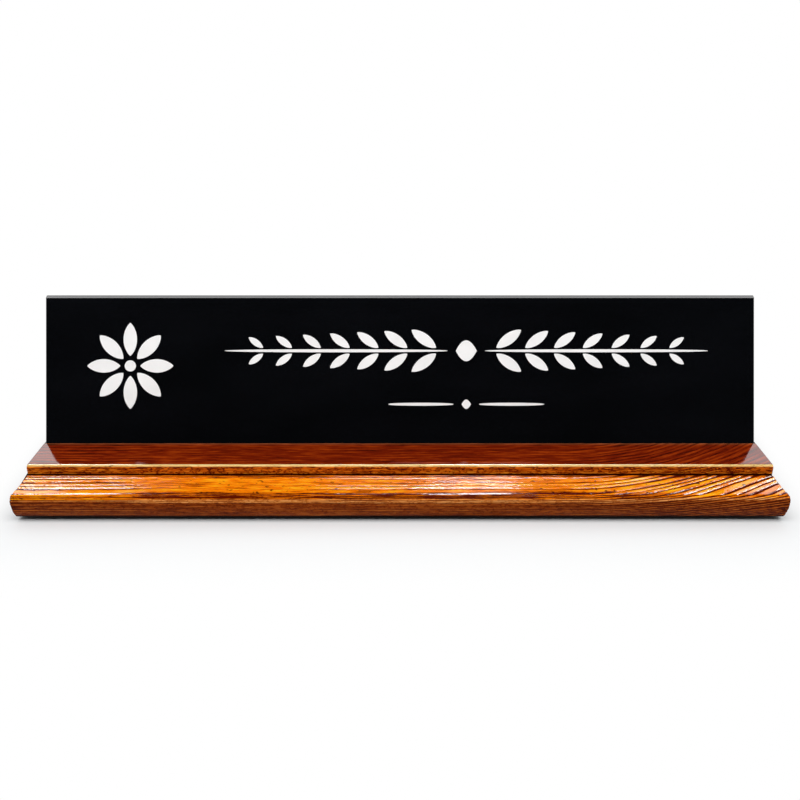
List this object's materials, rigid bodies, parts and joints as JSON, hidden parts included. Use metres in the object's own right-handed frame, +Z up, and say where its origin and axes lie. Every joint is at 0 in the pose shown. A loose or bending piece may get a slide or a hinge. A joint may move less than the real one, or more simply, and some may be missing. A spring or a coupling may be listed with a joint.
{
  "type": "desk name plate",
  "caption": "Desk name plate with a glossy black panel that leans back in the groove of a stained, moulded wooden base and lifts out of it.",
  "frame": {"origin": "on the desk surface, under the middle of the whole object's box", "axes": "+X along the plate to the reader's right, +Y to the back, +Z up; the panel faces -Y and leans back"},
  "size_m": [0.306, 0.0706, 0.0728],
  "materials": {
    "stained_wood": "red-brown to honey stain under gloss lacquer",
    "black_acrylic": "polished",
    "pad_rubber": "matt"
  },
  "bodies": {
    "stand": {"base_moulding": "stained_wood", "foot_pad_front_left": "pad_rubber", "foot_pad_front_right": "pad_rubber", "foot_pad_back_left": "pad_rubber", "foot_pad_back_right": "pad_rubber"},
    "panel": {"name_panel": "black_acrylic"}
  },
  "joints": [
    {"name": "panel_lift", "type": "slide", "parent": "stand", "child": "panel", "axis": [0, 0.4226, 0.9063], "range_m": [0, 0.015]}
  ]
}
